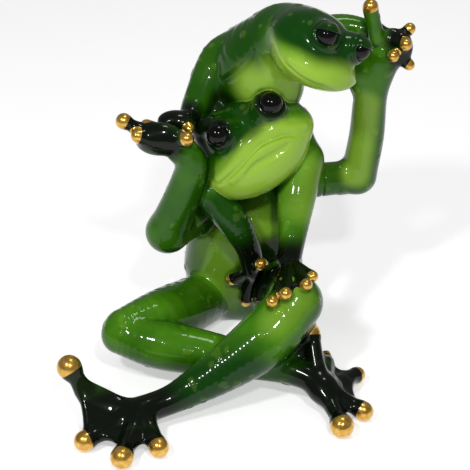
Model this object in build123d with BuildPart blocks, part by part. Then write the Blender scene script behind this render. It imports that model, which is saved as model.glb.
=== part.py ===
from build123d import *
from dataclasses import dataclass
from math import atan2, cos, degrees, radians
import os

# A resin ornament: a father frog sits cross-legged and carries a child frog on the shoulders.
# Millimetres, +Z up, front towards -Y, origin at the centre of the flat seat under the father.
# Left and right are the frogs' own. Castings meet with a thin glue gap and seat on round pegs.

# Joints between castings
GLUE_GAP = 0.15
PEG_RADIUS = 2.6
PEG_CLEARANCE = 0.12
CHILD_PEG_RADIUS = 1.8

# Father's torso, as ellipses from the seat up to the neck
TORSO_HEIGHT = 82.0
SEAT_WIDTH = 48.0
SEAT_DEPTH = 40.0
BELLY_WIDTH = 61.0
BELLY_DEPTH = 54.0
CHEST_WIDTH = 57.0
CHEST_DEPTH = 48.0
SHOULDER_WIDTH = 42.0
SHOULDER_DEPTH = 38.0
NECK_WIDTH = 26.0
NECK_DEPTH = 25.0
torso_height_shares = (0.0, 0.29, 0.56, 0.79, 1.0)
torso_lean_shares = (0.0, 0.0, 0.02, 0.06, 0.09)
torso_forward_shares = (0.0, 0.11, 0.09, 0.02, -0.03)

# Father's head
HEAD_WIDTH = 64.0
SKULL_WIDTH = 54.0
SKULL_HEIGHT = 42.0
MUZZLE_HEIGHT = 38.0
EYE_MOUND_RADIUS = 10.0
EYE_RADIUS = 5.8
MOUTH_GAP = 1.2
MOUTH_DEPTH = 1.6
head_place_shares = (0.125, 0.365, 1.245)
head_side_shares = (0.84, 0.22, 0.50)
head_up_shares = (-0.45, -0.05, 0.89)

# Places in a head, as shares of its width: to the left, to the back, up
skull_shares = (0.0, 0.03, 0.08)
muzzle_shares = (-0.02, -0.055, -0.10)
eye_mound_shares = (0.21, -0.11, 0.265)
eye_shares = (0.23, -0.19, 0.345)
mouth_shares = (0.0, -0.30, -0.07)
slit_across_share = 2.0
slit_depth_share = 0.6

# Father's arms
SHOULDER_BALL_RADIUS = 9.5
UPPER_ARM_LENGTH = 32.0
UPPER_ARM_RADIUS = 9.2
LEFT_ELBOW_RADIUS = 9.2
RIGHT_ELBOW_RADIUS = 10.2
LEFT_FOREARM_LENGTH = 48.6
RIGHT_FOREARM_LENGTH = 40.0
FOREARM_RADIUS = 9.1
WRIST_RADIUS = 8.0
LEFT_HAND_LENGTH = 23.5
RIGHT_HAND_LENGTH = 18.0
HAND_RADIUS = 7.4
FINGER_LENGTH = 22.0
FINGER_RADIUS = 2.5
FINGERTIP_RADIUS = 3.5
left_shoulder_shares = (0.45, 0.11, 0.90)
right_shoulder_shares = (-0.28, 0.15, 0.745)
left_upper_arm_shares = (0.97, 0.24, 0.0)
right_upper_arm_shares = (-0.66, -0.75, -0.03)
left_forearm_shares = (0.11, -0.06, 0.99)
right_forearm_shares = (0.31, -0.075, 0.95)
left_hand_shares = (0.29, -0.04, 0.96)
right_hand_shares = (-0.665, -0.05, 0.745)
left_finger_shares = (
    (-0.42, -0.09, 1.07),
    (0.46, 0.14, 0.46),
    (0.36, -0.32, 0.28),
    (0.10, -0.40, 0.02),
    (0.46, -0.14, -0.29),
)
right_finger_shares = (
    (-0.87, 0.05, 0.48),
    (-0.58, -0.20, 0.32),
    (-0.40, 0.23, 0.40),
    (0.50, -0.23, 0.20),
)
left_finger_webs = ((1, 2), (2, 3), (3, 4))
right_finger_webs = ((0, 1), (1, 2))

# Father's legs
HIP_RADIUS = 14.0
THIGH_RADIUS = 15.0
LEFT_KNEE_RADIUS = 13.0
RIGHT_KNEE_RADIUS = 10.0
LEFT_CALF_RADIUS = 13.2
RIGHT_CALF_RADIUS = 11.6
ANKLE_RADIUS = 7.0
ANKLE_HEIGHT = 12.5
THIGH_LENGTH = 69.0
LEFT_SHIN_LENGTH = 73.0
RIGHT_SHIN_LENGTH = 89.5
LEFT_INSTEP_LENGTH = 17.5
RIGHT_INSTEP_LENGTH = 13.0
FOOT_RADIUS = 6.8
FOOT_HEIGHT = 10.8
TOE_LENGTH = 30.0
TOE_RADIUS = 3.4
TOE_TIP_RADIUS = 5.0
left_hip_shares = (0.295, 0.22, 0.205)
right_hip_shares = (-0.25, 0.26, 0.185)
left_thigh_shares = (0.10, -0.91, 0.40)
right_thigh_shares = (-0.63, -0.765, 0.12)
left_shin_shares = (-0.864, -0.503)
right_shin_shares = (0.97, -0.25)
left_instep_shares = (-0.916, -0.40)
right_instep_shares = (0.84, -0.54)
left_toe_shares = ((-0.85, -0.55), (-0.25, -0.967), (0.30, -0.70))
right_toe_shares = ((0.60, 0.63), (0.65, -0.35), (0.27, -0.78))
left_raised_toe_shares = ((-1.117, 0.267, 0.633),)
right_raised_toe_shares = ((-0.167, 0.60, 0.65),)
left_toe_webs = ((0, 1), (1, 2), (3, 0))
right_toe_webs = ((0, 1), (1, 2), (3, 0))

# Child's torso, leaning over the father's head
CHILD_SEAT_RADIUS = 17.0
CHILD_BELLY_RADIUS = 20.0
CHILD_SHOULDER_RADIUS = 17.5
CHILD_TORSO_LENGTH = 65.0
child_seat_shares = (-0.035, -0.28, 1.16)
child_torso_shares = (0.29, -0.34, 0.89)

# Child's head
CHILD_HEAD_WIDTH = 41.0
CHILD_SKULL_WIDTH = 43.0
CHILD_SKULL_HEIGHT = 32.0
CHILD_MUZZLE_HEIGHT = 24.0
CHILD_EYE_MOUND_RADIUS = 8.0
CHILD_EYE_RADIUS = 5.3
child_head_place_shares = (0.26, -0.264, 0.02)
child_head_side_shares = (0.84, 0.30, -0.45)
child_head_up_shares = (0.42, 0.09, 0.84)
child_skull_shares = (-0.02, 0.06, 0.05)
child_muzzle_shares = (0.0, -0.22, -0.12)
child_eye_mound_shares = (0.22, -0.18, 0.195)
child_eye_shares = (0.25, -0.285, 0.30)
child_mouth_shares = (0.0, -0.45, -0.16)

# Child's arms
CHILD_ARM_RADIUS = 9.4
CHILD_HAND_RADIUS = 5.2
CHILD_RIGHT_UPPER_ARM_LENGTH = 15.3
CHILD_LEFT_UPPER_ARM_LENGTH = 20.4
CHILD_HAND_LENGTH = 10.0
CHILD_FINGER_LENGTH = 12.0
CHILD_FINGER_RADIUS = 2.3
CHILD_FINGERTIP_RADIUS = 3.2
child_right_shoulder_shares = (-0.33, 0.25, 0.83)
child_left_shoulder_shares = (0.35, 0.205, 0.96)
child_right_upper_arm_shares = (-0.875, 0.085, -0.477)
child_left_upper_arm_shares = (0.98, 0.137, 0.147)
child_right_hand_shares = (0.545, 0.80, 0.18)
child_left_hand_shares = (-0.22, 0.15, 0.44)
child_right_finger_shares = ((0.0, -1.08, 0.12), (-0.75, -0.65, 0.08))
child_left_finger_shares = ((0.95, 0.10, 0.05), (0.65, -0.50, 0.30))
child_finger_webs = ((0, 1),)

# How a child's arm thins from the shoulder to the wrist, as shares of its radius
right_taper_shares = (1.0, 0.98, 0.95, 0.84, 0.65)
left_taper_shares = (0.90, 0.80, 0.71, 0.63, 0.56)

# Child's legs
CHILD_HIP_RADIUS = 12.0
CHILD_THIGH_RADIUS = 10.5
CHILD_KNEE_RADIUS = 9.2
CHILD_CALF_RADIUS = 8.2
CHILD_ANKLE_RADIUS = 6.4
CHILD_RIGHT_THIGH_LENGTH = 38.4
CHILD_LEFT_THIGH_LENGTH = 37.0
CHILD_INSTEP_LENGTH = 13.0
CHILD_FOOT_RADIUS = 5.8
CHILD_TOE_LENGTH = 20.0
CHILD_TOE_RADIUS = 2.5
CHILD_TOE_TIP_RADIUS = 3.4
child_right_hip_shares = (-0.23, -0.24, -0.03)
child_left_hip_shares = (0.28, 0.0, 0.13)
child_right_thigh_shares = (-0.08, -0.93, -0.35)
child_left_thigh_shares = (0.46, -0.86, -0.23)
child_right_heel_shares = (-0.27, 0.08, 0.96)
child_left_heel_shares = (0.15, 0.87, 0.47)
child_right_toe_shares = ((0.22, -0.48, 0.42), (-0.55, 0.20, -0.44), (-0.18, 0.18, -1.06))
child_left_toe_shares = (
    (-0.44, -1.40, -0.22),
    (-0.13, -1.33, -0.04),
    (0.36, -1.17, 0.08),
    (0.52, -0.75, 0.05),
)
child_right_toe_webs = ((1, 2),)
child_left_toe_webs = ((0, 1), (1, 2), (2, 3))

# Where the child's feet stand: the right one on the belly, the left one on the raised thigh
child_right_foot_shares = (0.075, 0.69, 0.515)
thigh_stand_share = 0.72

# Shapes shared by all digits: where a digit starts, thins and is webbed, as shares of its length
digit_start_share = 0.10
digit_thin_share = 0.60
knuckle_share = 1.15
web_reach_share = 0.86
web_hollow_share = 0.18
web_inset_share = 0.09
web_thickness_share = 0.9

# Limb stretches: where they are thickest, and how much thinner the next stretch leaves a joint
swell_share = 0.42
fold_share = 0.97

# Pegs: where they start along a limb's upper stretch, and where they end in the torsos
peg_start_share = 0.45
child_arm_peg_share = 0.75
child_leg_peg_share = 0.30
peg_depth_share = 0.3
neck_peg_shares = (0.08, -0.04, 0.80)
saddle_peg_shares = (0.0, -0.08, 0.72)
saddle_start_share = 0.35

# A heading that no limb takes, which the limbs' outlines are turned away from
aside_shares = (1.0, 2.0, 0.5)


def towards(shares):
    return Vector(*shares).normalized()


def in_torso(shares):
    left, forward, height = shares
    return Vector(left * BELLY_WIDTH, -forward * BELLY_DEPTH, height * TORSO_HEIGHT)


def head_plane(origin, side_shares, up_shares):
    return Plane(origin=origin, x_dir=towards(side_shares), z_dir=towards(up_shares))


def in_head(plane, width, shares, side=1):
    left, back, up = shares
    return plane.from_local_coords(Vector(side * left * width, back * width, up * width))


def outline_plane(start, course):
    across = course.cross(Vector(*aside_shares))
    return Plane(origin=start, x_dir=course, z_dir=across)


# A round limb stretch between two places, with ball ends and a swelling on the way
def spindle(start, end, start_radius, swell_radius, end_radius):
    course = end - start
    reach = course.length
    with BuildSketch(outline_plane(start, course)) as profile:
        with BuildLine():
            CenterArc((0, 0), start_radius, 90, 90)
            Spline(
                (0, start_radius),
                (reach * swell_share, swell_radius),
                (reach, end_radius),
                tangents=((1, 0), (1, 0)),
            )
            CenterArc((reach, 0), end_radius, 0, 90)
            Line((-start_radius, 0), (reach + end_radius, 0))
        make_face()
    revolve(profile.sketch, axis=Axis(start, course))


# A toe or finger: a stem that thins and ends in a round pad
def digit(knuckle, tip, stem_radius, tip_radius):
    course = tip - knuckle
    reach = course.length
    knuckle_radius = stem_radius * knuckle_share
    shoulder = tip_radius * cos(radians(45))
    with BuildSketch(outline_plane(knuckle, course)) as profile:
        with BuildLine():
            CenterArc((0, 0), knuckle_radius, 90, 90)
            Spline(
                (0, knuckle_radius),
                (reach * digit_thin_share, stem_radius),
                (reach - shoulder, shoulder),
                tangents=((1, 0), (1, 1)),
            )
            CenterArc((reach, 0), tip_radius, 0, 135)
            Line((-knuckle_radius, 0), (reach + tip_radius, 0))
        make_face()
    revolve(profile.sketch, axis=Axis(knuckle, course))


# The skin between two neighbouring digits, hollowed along its free edge
def web(palm, tip, next_tip, thickness):
    span = min((tip - palm).length, (next_tip - palm).length) * web_reach_share
    reach = (tip - palm).normalized() * span
    next_reach = (next_tip - palm).normalized() * span
    plane = Plane(origin=palm, x_dir=reach, z_dir=reach.cross(next_reach))
    inward = (next_reach - reach) * web_inset_share
    corner = plane.to_local_coords(palm + reach + inward)
    next_corner = plane.to_local_coords(palm + next_reach - inward)
    middle = (corner + next_corner) / 2
    crotch = middle * web_inset_share
    hollow = middle - middle.normalized() * (next_corner - corner).length * web_hollow_share
    with BuildSketch(plane) as skin:
        with BuildLine():
            Line(crotch, corner)
            ThreePointArc(corner, hollow, next_corner)
            Line(next_corner, crotch)
        make_face()
    extrude(skin.sketch, amount=thickness / 2, both=True)


# A wide oval turned about the plane's own X direction: ball ends and a long flat arc between them
def spheroid(plane, width, height):
    half = width / 2
    rise = height / 2
    end_radius = rise**2 / half
    end_middle = half - end_radius
    arc_radius = (end_middle**2 + rise**2 - end_radius**2) / (2 * (rise - end_radius))
    drop = arc_radius - rise
    turn = degrees(atan2(drop, end_middle))
    meet = Vector(end_middle, drop) * (arc_radius / (arc_radius - end_radius)) - Vector(0, drop)
    with BuildSketch(plane) as profile:
        with BuildLine():
            CenterArc((end_middle, 0), end_radius, 0, turn)
            ThreePointArc(meet, (0, rise), (-meet.X, meet.Y))
            CenterArc((-end_middle, 0), end_radius, 180 - turn, turn)
            Line((-half, 0), (half, 0))
        make_face()
    revolve(profile.sketch, axis=Axis(plane.origin, plane.x_dir))


def pin(start, end, radius):
    course = end - start
    with BuildSketch(Plane(origin=start, z_dir=course)) as profile:
        Circle(radius)
    return extrude(profile.sketch, amount=course.length, mode=Mode.PRIVATE)


@dataclass
class Limb:
    root: Vector
    bend: Vector
    end: Vector
    palm: Vector
    tips: list
    webs: tuple
    radii: tuple
    palm_radius: float
    stem_radius: float
    tip_radius: float
    anchor: Vector
    peg_radius: float
    peg_share: float

    def peg_start(self):
        return self.root + (self.bend - self.root) * self.peg_share

    def peg(self):
        return pin(self.peg_start(), self.anchor, self.peg_radius)


def limb_form(limb, grow=0):
    root, upper, bend, lower, end = (radius + grow for radius in limb.radii)
    palm = limb.palm_radius + grow
    spindle(limb.root, limb.bend, root, upper, bend)
    spindle(limb.bend, limb.end, bend * fold_share, lower, end)
    spindle(limb.end, limb.palm, end * fold_share, palm, palm)
    for tip in limb.tips:
        knuckle = limb.palm + (tip - limb.palm) * digit_start_share
        digit(knuckle, tip, limb.stem_radius + grow, limb.tip_radius + grow)
    for first, second in limb.webs:
        thickness = limb.stem_radius * web_thickness_share + grow * 2
        web(limb.palm, limb.tips[first], limb.tips[second], thickness)


@dataclass
class Head:
    plane: Plane
    width: float
    skull_width: float
    skull_height: float
    muzzle_height: float
    mound_radius: float
    eye_radius: float
    skull: tuple
    muzzle: tuple
    mound: tuple
    eye: tuple
    mouth: tuple

    def eye_place(self, side):
        return in_head(self.plane, self.width, self.eye, side)


def head_form(head, grow=0):
    skull = Plane(in_head(head.plane, head.width, head.skull), head.plane.x_dir, head.plane.z_dir)
    muzzle = Plane(in_head(head.plane, head.width, head.muzzle), head.plane.x_dir, head.plane.z_dir)
    spheroid(skull, head.skull_width + grow * 2, head.skull_height + grow * 2)
    spheroid(muzzle, head.width + grow * 2, head.muzzle_height + grow * 2)
    for side in (-1, 1):
        with Locations(in_head(head.plane, head.width, head.mound, side)):
            Sphere(head.mound_radius + grow)


def eye_balls(head, grow=0):
    with BuildPart() as balls:
        for side in (-1, 1):
            with Locations(head.eye_place(side)):
                Sphere(head.eye_radius + grow)
    return balls.part


# The slit between the lips, as deep as the mouth is cut into the muzzle
def mouth_slit(head):
    muzzle = Plane(in_head(head.plane, head.width, head.muzzle), head.plane.x_dir, head.plane.z_dir)
    middle = Plane(in_head(head.plane, head.width, head.mouth), head.plane.x_dir, head.plane.z_dir)
    with BuildPart() as slit:
        with BuildSketch(middle):
            Rectangle(head.width * slit_across_share, head.width * slit_depth_share)
        extrude(amount=MOUTH_GAP / 2, both=True)
    with BuildPart() as core:
        spheroid(muzzle, head.width - MOUTH_DEPTH * 2, head.muzzle_height - MOUTH_DEPTH * 2)
    return slit.part - core.part


def torso_form(grow=0):
    widths = (SEAT_WIDTH, BELLY_WIDTH, CHEST_WIDTH, SHOULDER_WIDTH, NECK_WIDTH)
    depths = (SEAT_DEPTH, BELLY_DEPTH, CHEST_DEPTH, SHOULDER_DEPTH, NECK_DEPTH)
    shares = zip(torso_height_shares, torso_lean_shares, torso_forward_shares)
    sections = []
    for (height, lean, forward), width, depth in zip(shares, widths, depths):
        middle = in_torso((lean, forward, height))
        with BuildSketch(Plane(middle)) as section:
            Ellipse(width / 2 + grow, depth / 2 + grow)
        sections.append(section.sketch)
    loft(sections)


def child_torso_form(grow=0):
    spindle(
        child_seat,
        child_shoulders,
        CHILD_SEAT_RADIUS + grow,
        CHILD_BELLY_RADIUS + grow,
        CHILD_SHOULDER_RADIUS + grow,
    )


def room_for(form, *shape):
    with BuildPart() as room:
        form(*shape, grow=GLUE_GAP)
    return room.part


# Tips of fingers and raised toes, as shares of a digit's length from the palm
def reach_tips(palm, length, shares):
    return [palm + Vector(*share) * length for share in shares]


# Tips of toes that stand on the floor
def floor_tips(palm, shares):
    tips = []
    for ahead, forward in shares:
        tips.append(Vector(palm.X + ahead * TOE_LENGTH, palm.Y + forward * TOE_LENGTH, TOE_TIP_RADIUS))
    return tips


# A leg's lower half comes down to the height that stands on the floor
def come_down(start, length, heading_shares, height):
    drop = start.Z - height
    heading = towards((*heading_shares, 0))
    run = (length**2 - drop**2) ** 0.5
    return Vector(start.X, start.Y, height) + heading * run


def father_leg(hip_shares, thigh_shares, shin, shin_shares, instep, instep_shares, knee_radius, calf_radius,
               toe_shares, raised_shares, webs):
    hip = in_torso(hip_shares)
    knee = hip + towards(thigh_shares) * THIGH_LENGTH
    ankle = come_down(knee, shin, shin_shares, ANKLE_HEIGHT)
    palm = come_down(ankle, instep, instep_shares, FOOT_HEIGHT)
    tips = floor_tips(palm, toe_shares) + reach_tips(palm, TOE_LENGTH, raised_shares)
    return Limb(
        hip, knee, ankle, palm, tips, webs,
        (HIP_RADIUS, THIGH_RADIUS, knee_radius, calf_radius, ANKLE_RADIUS),
        FOOT_RADIUS, TOE_RADIUS, TOE_TIP_RADIUS,
        father_anchor(hip_shares), PEG_RADIUS, peg_start_share,
    )


def father_arm(shoulder_shares, upper_shares, forearm, forearm_shares, hand, hand_shares, elbow_radius,
               finger_shares, webs):
    shoulder = in_torso(shoulder_shares)
    elbow = shoulder + towards(upper_shares) * UPPER_ARM_LENGTH
    wrist = elbow + towards(forearm_shares) * forearm
    palm = wrist + towards(hand_shares) * hand
    return Limb(
        shoulder, elbow, wrist, palm, reach_tips(palm, FINGER_LENGTH, finger_shares), webs,
        (SHOULDER_BALL_RADIUS, UPPER_ARM_RADIUS, elbow_radius, FOREARM_RADIUS, WRIST_RADIUS),
        HAND_RADIUS, FINGER_RADIUS, FINGERTIP_RADIUS,
        father_anchor(shoulder_shares), PEG_RADIUS, peg_start_share,
    )


def child_arm(shoulder_shares, upper, upper_shares, taper_shares, held_palm, hand_shares, finger_shares):
    shoulder = in_child(shoulder_shares)
    elbow = shoulder + towards(upper_shares) * upper
    palm = held_palm + Vector(*hand_shares) * FINGER_LENGTH
    wrist = palm + (elbow - palm).normalized() * CHILD_HAND_LENGTH
    return Limb(
        shoulder, elbow, wrist, palm, reach_tips(palm, CHILD_FINGER_LENGTH, finger_shares),
        child_finger_webs,
        tuple(share * CHILD_ARM_RADIUS for share in taper_shares),
        CHILD_HAND_RADIUS, CHILD_FINGER_RADIUS, CHILD_FINGERTIP_RADIUS,
        child_anchor(shoulder_shares), CHILD_PEG_RADIUS, child_arm_peg_share,
    )


def child_leg(hip_shares, thigh, thigh_shares, palm, heel_shares, toe_shares, webs):
    hip = in_child(hip_shares)
    knee = hip + towards(thigh_shares) * thigh
    ankle = palm + towards(heel_shares) * CHILD_INSTEP_LENGTH
    return Limb(
        hip, knee, ankle, palm, reach_tips(palm, CHILD_TOE_LENGTH, toe_shares), webs,
        (CHILD_HIP_RADIUS, CHILD_THIGH_RADIUS, CHILD_KNEE_RADIUS, CHILD_CALF_RADIUS, CHILD_ANKLE_RADIUS),
        CHILD_FOOT_RADIUS, CHILD_TOE_RADIUS, CHILD_TOE_TIP_RADIUS,
        child_anchor(hip_shares), CHILD_PEG_RADIUS, child_leg_peg_share,
    )


# Where the pegs end inside the torsos
def father_anchor(shares):
    left, forward, height = shares
    return in_torso((left * peg_depth_share, forward, height))


def child_anchor(shares):
    left, back, up = shares
    return in_child((left * peg_depth_share, back * peg_depth_share, up))


# Places in the child's torso: across and back as shares of its belly width, up along its length
def in_child(shares):
    left, back, up = shares
    width = CHILD_BELLY_RADIUS * 2
    return child_seat + child_course * up * CHILD_TORSO_LENGTH + Vector(left * width, back * width, 0)


child_seat = in_torso(child_seat_shares)
child_course = towards(child_torso_shares)
child_shoulders = child_seat + child_course * CHILD_TORSO_LENGTH

father_head_shape = Head(
    head_plane(in_torso(head_place_shares), head_side_shares, head_up_shares),
    HEAD_WIDTH, SKULL_WIDTH, SKULL_HEIGHT, MUZZLE_HEIGHT, EYE_MOUND_RADIUS, EYE_RADIUS,
    skull_shares, muzzle_shares, eye_mound_shares, eye_shares, mouth_shares,
)
child_head_shape = Head(
    head_plane(
        child_shoulders + Vector(*child_head_place_shares) * HEAD_WIDTH,
        child_head_side_shares,
        child_head_up_shares,
    ),
    CHILD_HEAD_WIDTH, CHILD_SKULL_WIDTH, CHILD_SKULL_HEIGHT, CHILD_MUZZLE_HEIGHT, CHILD_EYE_MOUND_RADIUS,
    CHILD_EYE_RADIUS,
    child_skull_shares, child_muzzle_shares, child_eye_mound_shares, child_eye_shares, child_mouth_shares,
)
left_leg = father_leg(
    left_hip_shares, left_thigh_shares, LEFT_SHIN_LENGTH, left_shin_shares, LEFT_INSTEP_LENGTH,
    left_instep_shares, LEFT_KNEE_RADIUS, LEFT_CALF_RADIUS, left_toe_shares, left_raised_toe_shares,
    left_toe_webs,
)
right_leg = father_leg(
    right_hip_shares, right_thigh_shares, RIGHT_SHIN_LENGTH, right_shin_shares, RIGHT_INSTEP_LENGTH,
    right_instep_shares, RIGHT_KNEE_RADIUS, RIGHT_CALF_RADIUS, right_toe_shares, right_raised_toe_shares,
    right_toe_webs,
)
left_arm = father_arm(
    left_shoulder_shares, left_upper_arm_shares, LEFT_FOREARM_LENGTH, left_forearm_shares,
    LEFT_HAND_LENGTH, left_hand_shares, LEFT_ELBOW_RADIUS, left_finger_shares, left_finger_webs,
)
right_arm = father_arm(
    right_shoulder_shares, right_upper_arm_shares, RIGHT_FOREARM_LENGTH, right_forearm_shares,
    RIGHT_HAND_LENGTH, right_hand_shares, RIGHT_ELBOW_RADIUS, right_finger_shares, right_finger_webs,
)
child_right_arm_shape = child_arm(
    child_right_shoulder_shares, CHILD_RIGHT_UPPER_ARM_LENGTH, child_right_upper_arm_shares,
    right_taper_shares, right_arm.palm, child_right_hand_shares, child_right_finger_shares,
)
child_left_arm_shape = child_arm(
    child_left_shoulder_shares, CHILD_LEFT_UPPER_ARM_LENGTH, child_left_upper_arm_shares,
    left_taper_shares, left_arm.palm, child_left_hand_shares, child_left_finger_shares,
)
thigh_stand = left_leg.root + (left_leg.bend - left_leg.root) * thigh_stand_share
child_right_leg_shape = child_leg(
    child_right_hip_shares, CHILD_RIGHT_THIGH_LENGTH, child_right_thigh_shares,
    in_torso(child_right_foot_shares), child_right_heel_shares, child_right_toe_shares,
    child_right_toe_webs,
)
child_left_leg_shape = child_leg(
    child_left_hip_shares, CHILD_LEFT_THIGH_LENGTH, child_left_thigh_shares,
    thigh_stand + Vector(0, 0, THIGH_RADIUS + CHILD_FOOT_RADIUS), child_left_heel_shares,
    child_left_toe_shares, child_left_toe_webs,
)
neck = in_torso(neck_peg_shares)
neck_top = in_head(father_head_shape.plane, HEAD_WIDTH, skull_shares)
child_neck = in_head(child_head_shape.plane, CHILD_HEAD_WIDTH, child_skull_shares)
saddle = in_torso(saddle_peg_shares)
saddle_start = child_seat + (saddle - child_seat) * saddle_start_share


# A peg's socket is as much wider and deeper as the clearance
def socket(start, end, radius):
    deeper = end + (end - start).normalized() * PEG_CLEARANCE
    return pin(start, deeper, radius + PEG_CLEARANCE)


torso_room = room_for(torso_form)
head_room = room_for(head_form, father_head_shape)
left_leg_room = room_for(limb_form, left_leg)
left_arm_room = room_for(limb_form, left_arm)
right_arm_room = room_for(limb_form, right_arm)
child_torso_room = room_for(child_torso_form)
child_head_room = room_for(head_form, child_head_shape)
child_right_leg_room = room_for(limb_form, child_right_leg_shape)

with BuildPart() as father_torso:
    torso_form()
    for limb in (left_leg, right_leg, left_arm, right_arm):
        add(socket(limb.peg_start(), limb.anchor, PEG_RADIUS), mode=Mode.SUBTRACT)
    add(socket(neck_top, neck, PEG_RADIUS), mode=Mode.SUBTRACT)
    add(socket(saddle_start, saddle, PEG_RADIUS), mode=Mode.SUBTRACT)

with BuildPart() as father_head:
    head_form(father_head_shape)
    add(mouth_slit(father_head_shape), mode=Mode.SUBTRACT)
    add(eye_balls(father_head_shape, GLUE_GAP), mode=Mode.SUBTRACT)
    add(torso_room, mode=Mode.SUBTRACT)
    add(pin(neck_top, neck, PEG_RADIUS))

with BuildPart() as father_left_leg:
    limb_form(left_leg)
    add(torso_room, mode=Mode.SUBTRACT)
    add(left_leg.peg())

with BuildPart() as father_right_leg:
    limb_form(right_leg)
    add(torso_room, mode=Mode.SUBTRACT)
    add(left_leg_room, mode=Mode.SUBTRACT)
    add(right_leg.peg())

with BuildPart() as father_left_arm:
    limb_form(left_arm)
    add(torso_room, mode=Mode.SUBTRACT)
    add(left_arm.peg())

with BuildPart() as father_right_arm:
    limb_form(right_arm)
    add(torso_room, mode=Mode.SUBTRACT)
    add(head_room, mode=Mode.SUBTRACT)
    add(right_arm.peg())

with BuildPart() as child_torso:
    child_torso_form()
    add(torso_room, mode=Mode.SUBTRACT)
    add(head_room, mode=Mode.SUBTRACT)
    for limb in (child_right_arm_shape, child_left_arm_shape, child_right_leg_shape, child_left_leg_shape):
        add(socket(limb.peg_start(), limb.anchor, CHILD_PEG_RADIUS), mode=Mode.SUBTRACT)
    add(socket(child_neck, child_shoulders, CHILD_PEG_RADIUS), mode=Mode.SUBTRACT)
    add(pin(saddle_start, saddle, PEG_RADIUS))

with BuildPart() as child_head:
    head_form(child_head_shape)
    add(mouth_slit(child_head_shape), mode=Mode.SUBTRACT)
    add(eye_balls(child_head_shape, GLUE_GAP), mode=Mode.SUBTRACT)
    add(child_torso_room, mode=Mode.SUBTRACT)
    add(head_room, mode=Mode.SUBTRACT)
    add(pin(child_neck, child_shoulders, CHILD_PEG_RADIUS))

with BuildPart() as child_right_arm:
    limb_form(child_right_arm_shape)
    for neighbour in (child_torso_room, right_arm_room, head_room):
        add(neighbour, mode=Mode.SUBTRACT)
    add(child_right_arm_shape.peg())

with BuildPart() as child_left_arm:
    limb_form(child_left_arm_shape)
    for neighbour in (child_torso_room, child_head_room, left_arm_room):
        add(neighbour, mode=Mode.SUBTRACT)
    add(child_left_arm_shape.peg())

with BuildPart() as child_right_leg:
    limb_form(child_right_leg_shape)
    for neighbour in (child_torso_room, head_room, torso_room, right_arm_room, left_leg_room):
        add(neighbour, mode=Mode.SUBTRACT)
    add(child_right_leg_shape.peg())

with BuildPart() as child_left_leg:
    limb_form(child_left_leg_shape)
    for neighbour in (child_torso_room, head_room, torso_room, left_leg_room, child_right_leg_room):
        add(neighbour, mode=Mode.SUBTRACT)
    add(child_left_leg_shape.peg())

pieces = {
    "father_torso": father_torso,
    "father_head": father_head,
    "father_left_leg": father_left_leg,
    "father_right_leg": father_right_leg,
    "father_left_arm": father_left_arm,
    "father_right_arm": father_right_arm,
    "child_torso": child_torso,
    "child_head": child_head,
    "child_right_arm": child_right_arm,
    "child_left_arm": child_left_arm,
    "child_right_leg": child_right_leg,
    "child_left_leg": child_left_leg,
}
for owner, head in (("father", father_head_shape), ("child", child_head_shape)):
    for hand, side in (("right", -1), ("left", 1)):
        with BuildPart() as eye:
            with Locations(head.eye_place(side)):
                Sphere(head.eye_radius)
        pieces[f"{owner}_{hand}_eye"] = eye

os.makedirs("parts", exist_ok=True)
for label, piece in pieces.items():
    piece.part.label = label
    export_step(piece.part, f"parts/{label}.step")
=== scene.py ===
import math

import bpy
import numpy as np
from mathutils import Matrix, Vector


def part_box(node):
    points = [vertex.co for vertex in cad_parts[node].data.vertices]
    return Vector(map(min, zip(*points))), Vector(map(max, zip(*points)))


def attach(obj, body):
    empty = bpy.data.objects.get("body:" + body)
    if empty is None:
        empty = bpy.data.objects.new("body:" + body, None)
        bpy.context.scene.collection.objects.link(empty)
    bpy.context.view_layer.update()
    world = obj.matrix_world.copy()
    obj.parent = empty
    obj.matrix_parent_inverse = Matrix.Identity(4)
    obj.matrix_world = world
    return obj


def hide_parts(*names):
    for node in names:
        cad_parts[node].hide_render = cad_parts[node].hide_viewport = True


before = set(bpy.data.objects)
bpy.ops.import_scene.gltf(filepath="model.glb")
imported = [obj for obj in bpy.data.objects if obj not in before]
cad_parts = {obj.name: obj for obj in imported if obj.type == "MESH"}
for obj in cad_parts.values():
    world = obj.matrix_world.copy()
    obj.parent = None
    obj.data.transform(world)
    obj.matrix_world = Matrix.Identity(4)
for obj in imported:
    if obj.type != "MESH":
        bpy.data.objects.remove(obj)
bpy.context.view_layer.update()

# Two glossy frogs in cast resin, modelled as soft round masses that run into each other.
# Millimetres in the part's frame: +Z up, front towards -Y; left and right are the frogs' own.
MM = 0.001
CELL = 0.5
BLOCK_CELLS = 16
FAR = 60.0
REACH = 9.0
SEAM_OVERLAP = 1.6
SEAM_BAND = 0.6
SEAM_SINK = 0.8
TOUCH_BLEND = 0.8
DROP_SEED = 4


def place(*numbers):
    return np.array(numbers, dtype=float)


def unit(vector):
    return vector / np.linalg.norm(vector)


def node_middle(node):
    low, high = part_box(node)
    return (place(*low) + place(*high)) / (2 * MM)


# How far the child's beads sit from the solids' own beads, as the photograph shows them
EYE_SHIFTS = {"child_right_eye": (4.4, 0.0, -2.0), "child_left_eye": (3.2, 0.5, -2.6)}


def eye_middle(node):
    return node_middle(node) + place(*EYE_SHIFTS.get(node, (0.0, 0.0, 0.0)))


def node_radius(node):
    low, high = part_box(node)
    return (high[2] - low[2]) / (2 * MM)


# Soft masses: each one gives the distance from points to its surface

def smooth_min(first, second, blend):
    if blend <= 0:
        return np.minimum(first, second)
    near = np.maximum(blend - np.abs(first - second), 0) / blend
    return np.minimum(first, second) - near * near * blend / 4


def ramp(value, low, high):
    share = np.clip((value - low) / (high - low), 0, 1)
    return share * share * (3 - 2 * share)


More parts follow.
